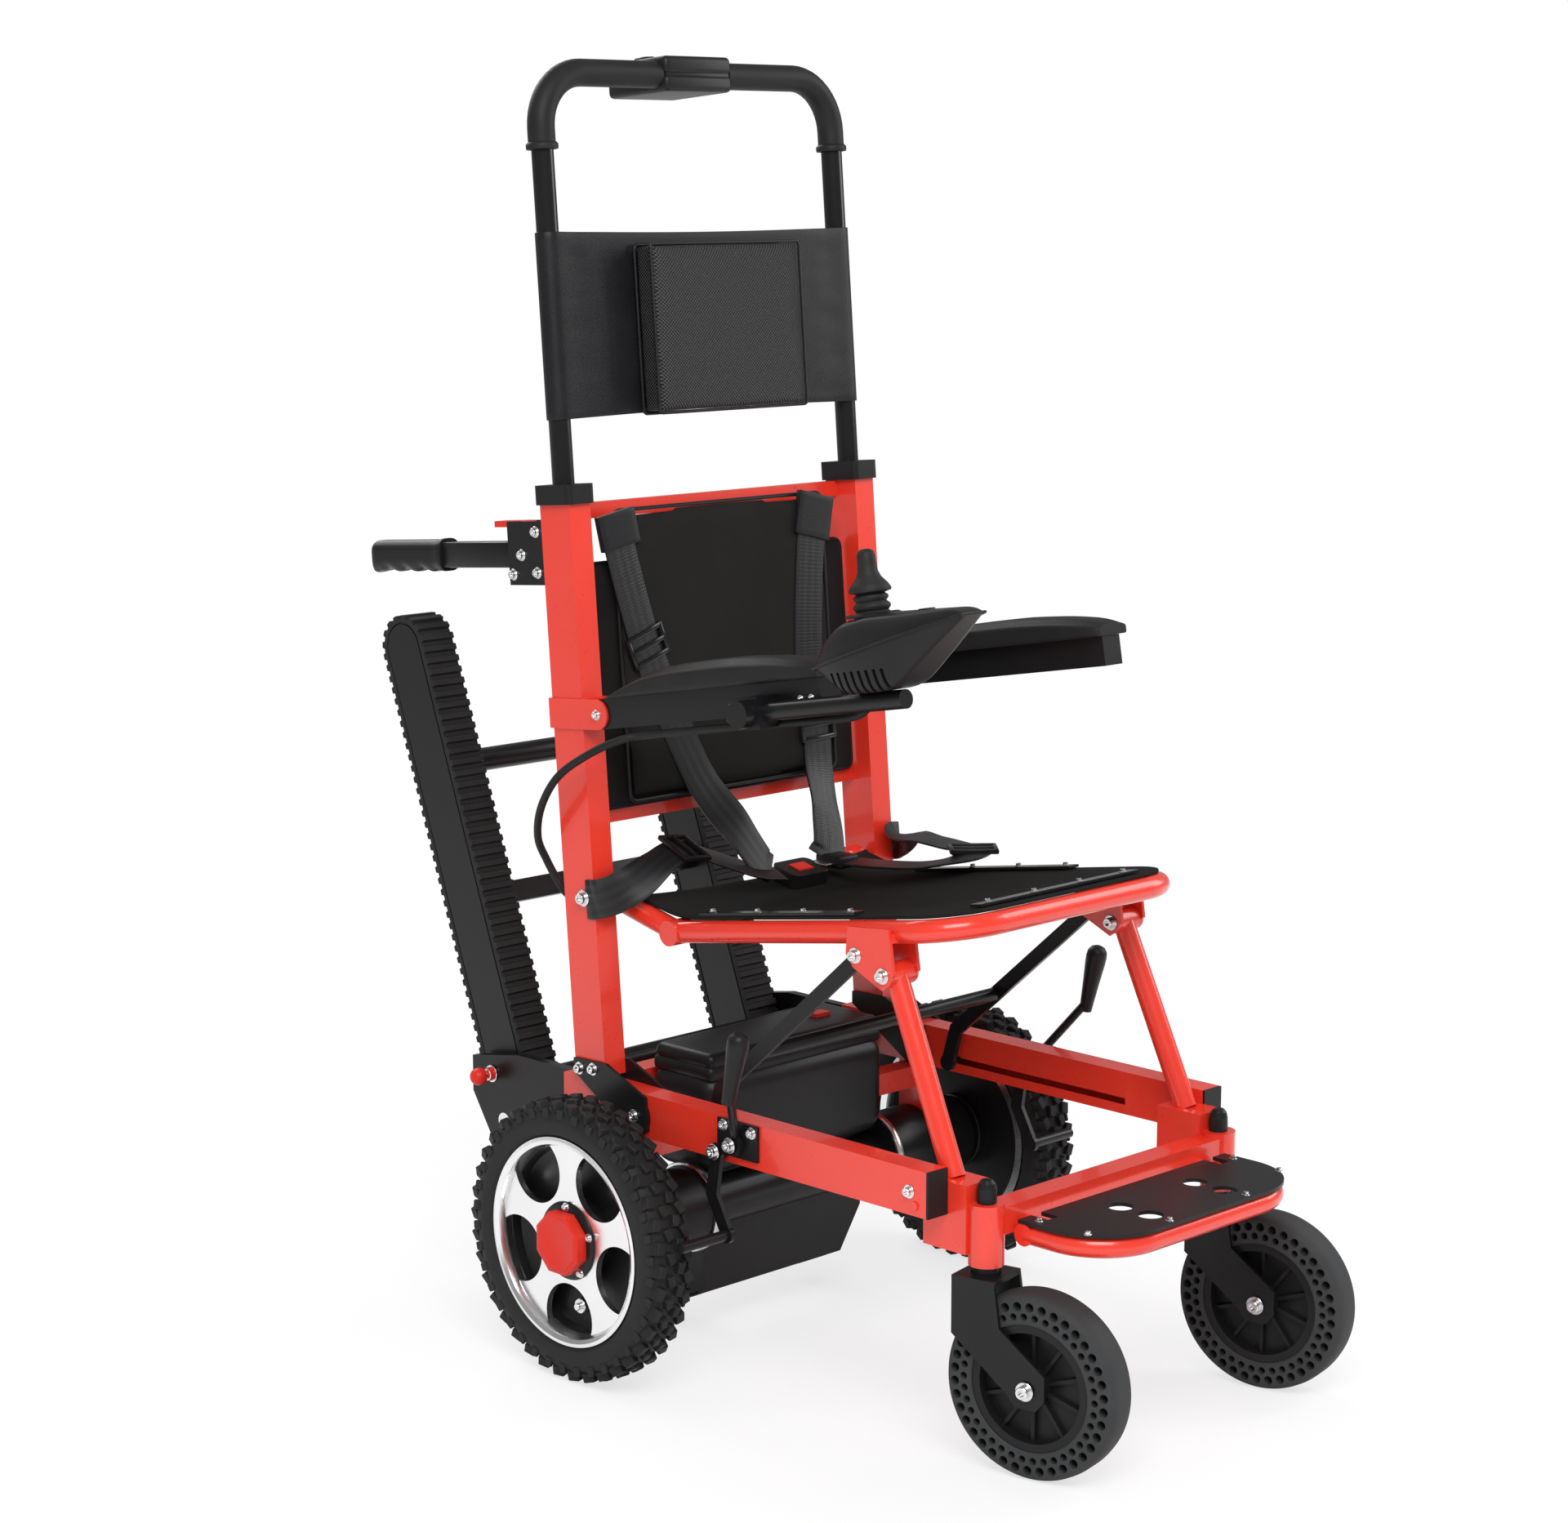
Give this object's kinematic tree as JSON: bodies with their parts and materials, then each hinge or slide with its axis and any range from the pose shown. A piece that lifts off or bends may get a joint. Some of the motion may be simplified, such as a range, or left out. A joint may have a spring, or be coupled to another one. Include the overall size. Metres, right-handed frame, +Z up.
{
  "type": "stair climbing wheelchair",
  "caption": "Folding powered wheelchair with driven rear wheels, front casters and a tilting rear crawler track for stairs, high back, headrest, harness and armrest joystick.",
  "frame": {"origin": "on the floor under the middle of the object's box", "axes": "the chair faces -Y, its right side is -X, +Z is up"},
  "size_m": [0.704, 1.1362, 1.4659],
  "materials": {
    "red_alloy": "gloss paint",
    "red_steel": "gloss paint",
    "black_alloy": "satin black paint",
    "black_steel": "satin black paint",
    "alloy": "machined",
    "black_plastic": "satin moulded",
    "red_plastic": "gloss",
    "soft_black": "soft foam skin",
    "belt_rubber": "matt rubber",
    "tyre_rubber": "matt rubber",
    "cloth": "woven",
    "leatherette": "grained",
    "webbing": "satin webbing"
  },
  "bodies": {
    "chassis": {"chassis_frame": "red_alloy", "rail_caps": "black_plastic", "battery_case": "black_plastic", "drive_unit": "black_alloy", "track_base": "black_alloy", "lower_belts": "belt_rubber", "brake_brackets": "black_steel"},
    "back": {"back_frame": "red_alloy", "back_brackets": "black_steel", "upright_caps": "black_plastic", "back_panel": "cloth", "harness": "webbing", "control_cable": "soft_black"},
    "seat": {"seat_frame": "red_alloy", "seat_sling": "cloth", "seat_strips": "black_plastic", "buckle": "black_plastic"},
    "strut": {"struts": "black_steel"},
    "front": {"front_frame": "red_steel", "dome_caps": "black_plastic"},
    "handle": {"push_handle": "black_alloy", "grip_sleeve": "soft_black", "control_box": "black_plastic"},
    "headrest": {"headrest_band": "leatherette", "headrest_cushion": "cloth"},
    "arm_r": {"arm_bar_r": "black_alloy", "arm_pad_r": "soft_black"},
    "arm_l": {"arm_bar_l": "black_alloy", "arm_pad_l": "soft_black"},
    "controller": {"controller_tube": "black_alloy", "controller_box": "black_plastic"},
    "yoke": {"stick_yoke": "alloy"},
    "stick": {"joystick": "soft_black"},
    "lift_r": {"lift_handle_r": "black_plastic"},
    "lift_l": {"lift_handle_l": "black_plastic"},
    "release_r": {"release_lever_r": "red_plastic"},
    "release_l": {"release_lever_l": "red_plastic"},
    "foot": {"foot_frame": "red_steel", "foot_plate": "black_plastic"},
    "fork_r": {"caster_fork_r": "black_steel"},
    "fork_l": {"caster_fork_l": "black_steel"},
    "caster_r": {"caster_hub_r": "black_plastic", "caster_tyre_r": "tyre_rubber"},
    "caster_l": {"caster_hub_l": "black_plastic", "caster_tyre_l": "tyre_rubber"},
    "wheel_r": {"wheel_rim_r": "alloy", "wheel_tyre_r": "tyre_rubber"},
    "wheel_l": {"wheel_rim_l": "alloy", "wheel_tyre_l": "tyre_rubber"},
    "crawler": {"track_frame": "black_alloy", "track_belts": "belt_rubber"},
    "track_drive": {"drive_shaft": "alloy"},
    "plunger_r": {"track_pin_r": "red_plastic"},
    "plunger_l": {"track_pin_l": "red_plastic"},
    "brake_r": {"brake_lever_r": "black_steel"},
    "brake_l": {"brake_lever_l": "black_steel"},
    "shoe_r": {"brake_shoe_r": "black_steel"},
    "shoe_l": {"brake_shoe_l": "black_steel"},
    "rocker": {"power_switch": "red_plastic"},
    "button": {"buckle_button": "red_plastic"}
  },
  "joints": [
    {"name": "back_fold", "type": "hinge", "parent": "chassis", "child": "back", "pos_m": [0, 0.082, 0.29], "axis": [1, 0, 0], "range_deg": [0, 45]},
    {"name": "seat_fold", "type": "hinge", "parent": "back", "child": "seat", "pos_m": [0, 0.164, 0.514], "axis": [1, 0, 0], "range_deg": [-45, 0], "deforming": ["harness"]},
    {"name": "front_fold", "type": "hinge", "parent": "chassis", "child": "front", "pos_m": [0, -0.346, 0.278], "axis": [1, 0, 0], "range_deg": [0, 45]},
    {"name": "strut_swing", "type": "hinge", "parent": "seat", "child": "strut", "pos_m": [0, -0.224, 0.518], "axis": [1, 0, 0], "range_deg": [0, 9.9]},
    {"name": "arm_flip_r", "type": "hinge", "parent": "back", "child": "arm_r", "pos_m": [-0.228, 0.13907, 0.73884], "axis": [-1, 0, 0], "range_deg": [0, 45], "deforming": ["control_cable"]},
    {"name": "arm_flip_l", "type": "hinge", "parent": "back", "child": "arm_l", "pos_m": [0.228, 0.13907, 0.73884], "axis": [-1, 0, 0], "range_deg": [0, 45]},
    {"name": "handle_slide", "type": "slide", "parent": "back", "child": "handle", "axis": [0, 0.0802, 0.9968], "range_m": [-0.065, 0]},
    {"name": "headrest_slide", "type": "slide", "parent": "handle", "child": "headrest", "axis": [0, 0.0802, 0.9968], "range_m": [0, 0.08]},
    {"name": "controller_slide", "type": "slide", "parent": "arm_r", "child": "controller", "axis": [0, -0.9848, 0.1736], "range_m": [0, 0.02]},
    {"name": "stick_pitch", "type": "hinge", "parent": "controller", "child": "yoke", "pos_m": [-0.257, -0.29478, 0.8986], "axis": [1, 0, 0], "range_deg": [-10, 10], "stiffness_Nm_per_rad": 0.6},
    {"name": "stick_roll", "type": "hinge", "parent": "yoke", "child": "stick", "pos_m": [-0.257, -0.29478, 0.8986], "axis": [0, 0.9848, -0.1736], "range_deg": [-10, 10], "stiffness_Nm_per_rad": 0.6},
    {"name": "lift_fold_r", "type": "hinge", "parent": "back", "child": "lift_r", "pos_m": [-0.228, 0.26698, 0.90712], "axis": [-1, 0, 0], "range_deg": [0, 85]},
    {"name": "release_r", "type": "hinge", "parent": "back", "child": "release_r", "pos_m": [-0.228, 0.27437, 0.93662], "axis": [1, 0, 0], "range_deg": [0, 18], "stiffness_Nm_per_rad": 0.4},
    {"name": "wheel_spin_r", "type": "hinge", "parent": "chassis", "child": "wheel_r", "pos_m": [-0.318, 0.095, 0.161], "axis": [1, 0, 0], "continuous": true},
    {"name": "caster_swivel_r", "type": "hinge", "parent": "front", "child": "fork_r", "pos_m": [-0.1925, -0.401, 0.217], "axis": [0, 0, 1], "continuous": true},
    {"name": "caster_spin_r", "type": "hinge", "parent": "fork_r", "child": "caster_r", "pos_m": [-0.17919, -0.4636, 0.1], "axis": [0.9781, 0.2079, 0], "continuous": true},
    {"name": "plunger_pull_r", "type": "slide", "parent": "chassis", "child": "plunger_r", "axis": [-1, 0, 0], "range_m": [0, 0.01], "stiffness_N_per_m": 600},
    {"name": "brake_r", "type": "hinge", "parent": "chassis", "child": "brake_r", "pos_m": [-0.2515, -0.085, 0.292], "axis": [1, 0, 0], "range_deg": [0, 30]},
    {"name": "shoe_r", "type": "hinge", "parent": "chassis", "child": "shoe_r", "pos_m": [-0.2515, -0.06, 0.28], "axis": [1, 0, 0], "range_deg": [0, 3]},
    {"name": "lift_fold_l", "type": "hinge", "parent": "back", "child": "lift_l", "pos_m": [0.228, 0.26698, 0.90712], "axis": [-1, 0, 0], "range_deg": [0, 85]},
    {"name": "release_l", "type": "hinge", "parent": "back", "child": "release_l", "pos_m": [0.228, 0.27437, 0.93662], "axis": [1, 0, 0], "range_deg": [0, 18], "stiffness_Nm_per_rad": 0.4},
    {"name": "wheel_spin_l", "type": "hinge", "parent": "chassis", "child": "wheel_l", "pos_m": [0.318, 0.095, 0.161], "axis": [1, 0, 0], "continuous": true},
    {"name": "caster_swivel_l", "type": "hinge", "parent": "front", "child": "fork_l", "pos_m": [0.1925, -0.401, 0.217], "axis": [0, 0, 1], "continuous": true},
    {"name": "caster_spin_l", "type": "hinge", "parent": "fork_l", "child": "caster_l", "pos_m": [0.20581, -0.4636, 0.1], "axis": [0.9781, 0.2079, 0], "continuous": true},
    {"name": "plunger_pull_l", "type": "slide", "parent": "chassis", "child": "plunger_l", "axis": [1, 0, 0], "range_m": [0, 0.01], "stiffness_N_per_m": 600},
    {"name": "brake_l", "type": "hinge", "parent": "chassis", "child": "brake_l", "pos_m": [0.2515, -0.085, 0.292], "axis": [1, 0, 0], "range_deg": [0, 30]},
    {"name": "shoe_l", "type": "hinge", "parent": "chassis", "child": "shoe_l", "pos_m": [0.2515, -0.06, 0.28], "axis": [1, 0, 0], "range_deg": [0, 3]},
    {"name": "crawler_swing", "type": "hinge", "parent": "chassis", "child": "crawler", "pos_m": [0, 0.331, 0.23], "axis": [-1, 0, 0], "range_deg": [0, 40]},
    {"name": "track_drive", "type": "hinge", "parent": "chassis", "child": "track_drive", "pos_m": [0, 0.331, 0.23], "axis": [1, 0, 0], "continuous": true},
    {"name": "foot_flip", "type": "hinge", "parent": "front", "child": "foot", "pos_m": [0, -0.432, 0.25], "axis": [-1, 0, 0], "range_deg": [0, 85]},
    {"name": "power_rocker", "type": "hinge", "parent": "chassis", "child": "rocker", "pos_m": [0.084, 0.117, 0.34], "axis": [0, 1, 0], "range_deg": [-10, 10]},
    {"name": "buckle_press", "type": "slide", "parent": "seat", "child": "button", "axis": [0, 0.2272, -0.9738], "range_m": [0, 0.0014], "stiffness_N_per_m": 500}
  ],
  "couplings": [
    {"joint": "seat_fold", "follows": "back_fold", "ratio": -1},
    {"joint": "front_fold", "follows": "back_fold", "ratio": 1},
    {"joint": "strut_swing", "follows": "back_fold", "ratio": 0.22},
    {"joint": "arm_flip_r", "follows": "back_fold", "ratio": 1},
    {"joint": "arm_flip_l", "follows": "back_fold", "ratio": 1},
    {"joint": "shoe_r", "follows": "brake_r", "ratio": 0.09},
    {"joint": "shoe_l", "follows": "brake_l", "ratio": 0.09}
  ]
}
